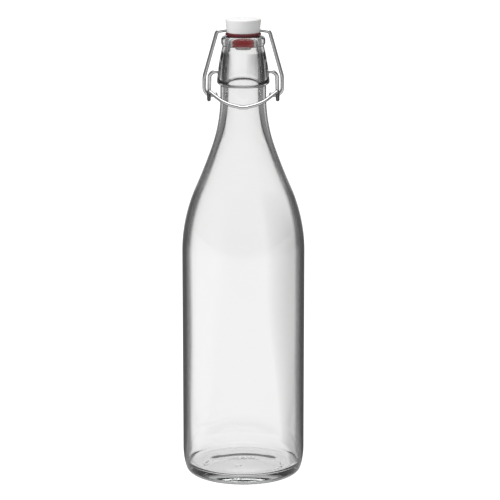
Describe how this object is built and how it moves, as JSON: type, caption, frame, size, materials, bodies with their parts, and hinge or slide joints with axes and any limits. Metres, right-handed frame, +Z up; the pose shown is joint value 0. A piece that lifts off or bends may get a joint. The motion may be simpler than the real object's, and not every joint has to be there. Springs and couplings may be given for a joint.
{
  "type": "growler",
  "caption": "Tall clear glass swing-top bottle for beer or other drinks, with a wire bail, a hinged lever wire and a plastic stopper with a rubber gasket.",
  "frame": {"origin": "centre of the base at the height of the surface that the bottle stands on", "axes": "+Z up along the bottle's axis, -Y to the front where the lever's handle is, +X to the right along the pivots"},
  "size_m": [0.085, 0.085, 0.3204],
  "materials": {
    "clear_glass": "clear, fire polished",
    "white_plastic": "gloss",
    "red_rubber": "matte",
    "steel_wire": "bright drawn"
  },
  "bodies": {
    "bottle": {"glass_bottle": "clear_glass"},
    "lever": {"lever_wire": "steel_wire"},
    "bail": {"bail_wire": "steel_wire"},
    "stopper": {"stopper": "white_plastic", "gasket": "red_rubber"}
  },
  "joints": [
    {"name": "lever_pivot", "type": "hinge", "parent": "bottle", "child": "lever", "pos_m": [0, 0, 0.28395], "axis": [-1, 0, 0], "range_deg": [0, 150]},
    {"name": "bail_hook", "type": "hinge", "parent": "lever", "child": "bail", "pos_m": [0, 0.001, 0.2678], "axis": [-1, 0, 0], "range_deg": [-102, 0]},
    {"name": "stopper_swivel", "type": "hinge", "parent": "bail", "child": "stopper", "pos_m": [0, 0, 0.3124], "axis": [-1, 0, 0], "range_deg": [-48, 0]}
  ],
  "couplings": [
    {"joint": "bail_hook", "follows": "lever_pivot", "ratio": -0.68},
    {"joint": "stopper_swivel", "follows": "lever_pivot", "ratio": -0.32}
  ]
}
